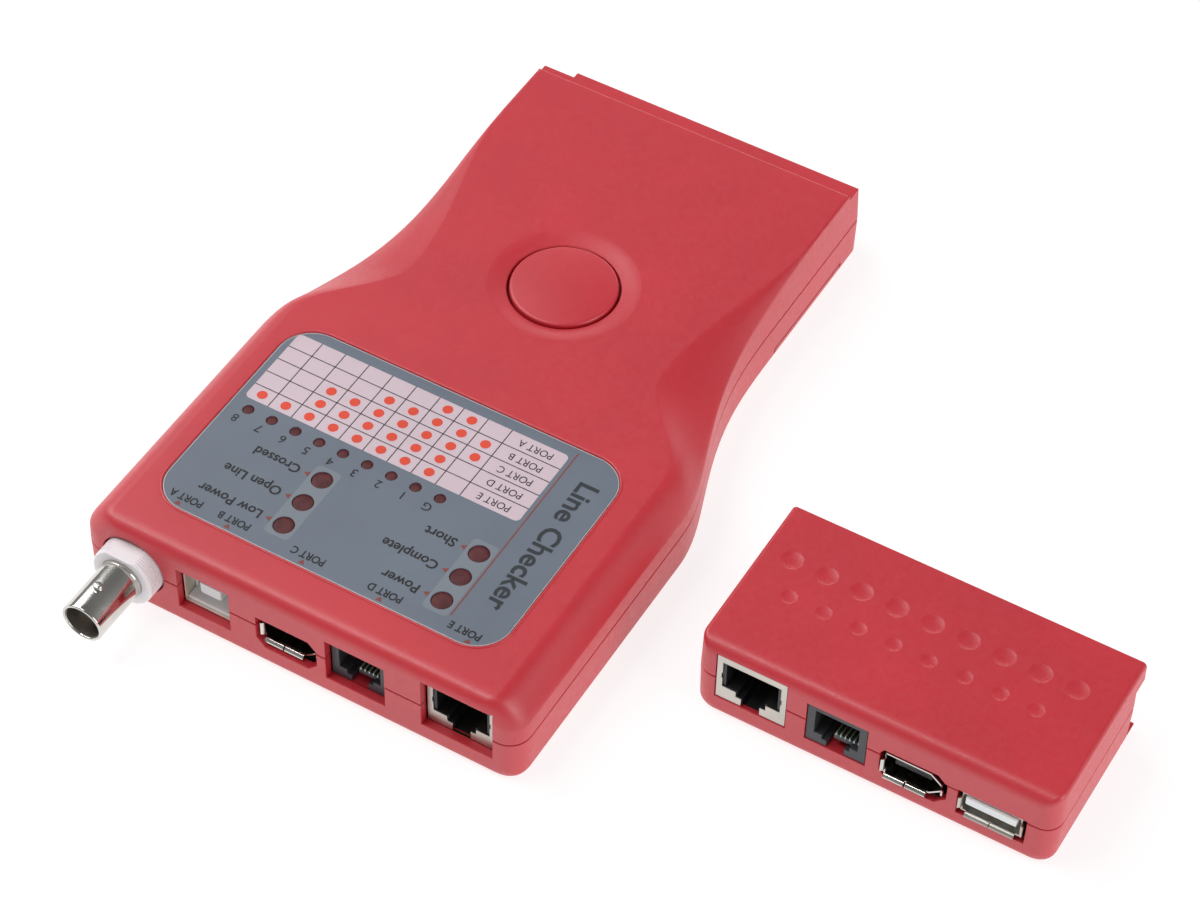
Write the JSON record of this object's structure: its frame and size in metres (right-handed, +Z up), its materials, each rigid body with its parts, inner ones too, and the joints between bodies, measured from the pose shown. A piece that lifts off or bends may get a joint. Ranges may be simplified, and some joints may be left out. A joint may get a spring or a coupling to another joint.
{
  "type": "network cable tester",
  "caption": "Hand-held network cable tester with a flared body, round power button, indicator label and front sockets, and a separate docking remote end.",
  "frame": {"origin": "on the table, under the middle of the main unit", "axes": "+Z up, -Y towards the sockets of the main unit, +X towards the remote"},
  "size_m": [0.2056, 0.1902, 0.0233],
  "materials": {
    "red_abs": "fine satin texture",
    "label_film": "satin printed film",
    "led_lens": "dark red translucent lens",
    "circuit_board": "green solder mask",
    "black_plastic": "moulded",
    "grey_plastic": "moulded",
    "white_plastic": "moulded",
    "spring_steel": "drawn wire",
    "nickel_plate": "bright nickel",
    "satin_shield": "tinned sheet",
    "gold_contact": "gold flash",
    "battery_jacket": "plain printed jacket",
    "wire_jacket": "PVC insulation"
  },
  "bodies": {
    "main_unit": {"top_shell": "red_abs", "bottom_shell": "red_abs", "label_overlay": "label_film", "pin_leds": "led_lens", "status_leds": "led_lens", "main_board": "circuit_board", "display_board": "circuit_board", "board_header": "black_plastic", "switch_body": "black_plastic", "button_spring": "spring_steel", "bnc_barrel": "nickel_plate", "bnc_collar": "white_plastic", "bnc_insulator": "white_plastic", "bnc_contact": "gold_contact", "usb_b_shell": "nickel_plate", "usb_b_insert": "white_plastic", "firewire_shell": "nickel_plate", "firewire_insert": "black_plastic", "rj11_housing": "grey_plastic", "rj11_contacts": "gold_contact", "rj45_shield": "satin_shield", "rj45_housing": "black_plastic", "rj45_contacts": "gold_contact", "battery": "battery_jacket", "battery_snap": "black_plastic", "battery_leads": "wire_jacket", "case_screws": "spring_steel"},
    "button": {"power_button": "red_abs"},
    "plunger": {"switch_plunger": "white_plastic"},
    "cover": {"battery_cover": "red_abs"},
    "remote": {"remote_top_shell": "red_abs", "remote_bottom_shell": "red_abs", "remote_board": "circuit_board", "remote_rj45_shield": "satin_shield", "remote_rj45_housing": "black_plastic", "remote_rj45_contacts": "gold_contact", "remote_rj11_housing": "grey_plastic", "remote_rj11_contacts": "gold_contact", "remote_firewire_shell": "nickel_plate", "remote_firewire_insert": "black_plastic", "remote_usb_shell": "nickel_plate", "remote_usb_insert": "white_plastic", "remote_screws": "spring_steel"}
  },
  "joints": [
    {"name": "button_press", "type": "slide", "parent": "main_unit", "child": "button", "axis": [0, 0, -1], "range_m": [0, 0.0012], "stiffness_N_per_m": 900, "deforming": ["button_spring"]},
    {"name": "plunger_press", "type": "slide", "parent": "main_unit", "child": "plunger", "axis": [0, 0, -1], "range_m": [0, 0.0012]},
    {"name": "battery_cover_release", "type": "slide", "parent": "main_unit", "child": "cover", "axis": [0, 0, -1], "range_m": [0, 0.012]},
    {"name": "remote_docking", "type": "hinge", "parent": "main_unit", "child": "remote", "pos_m": [0.05615, 0.03905, 0], "axis": [0, 0, 1], "range_deg": [0, 180]}
  ],
  "couplings": [
    {"joint": "plunger_press", "follows": "button_press", "ratio": 1}
  ]
}
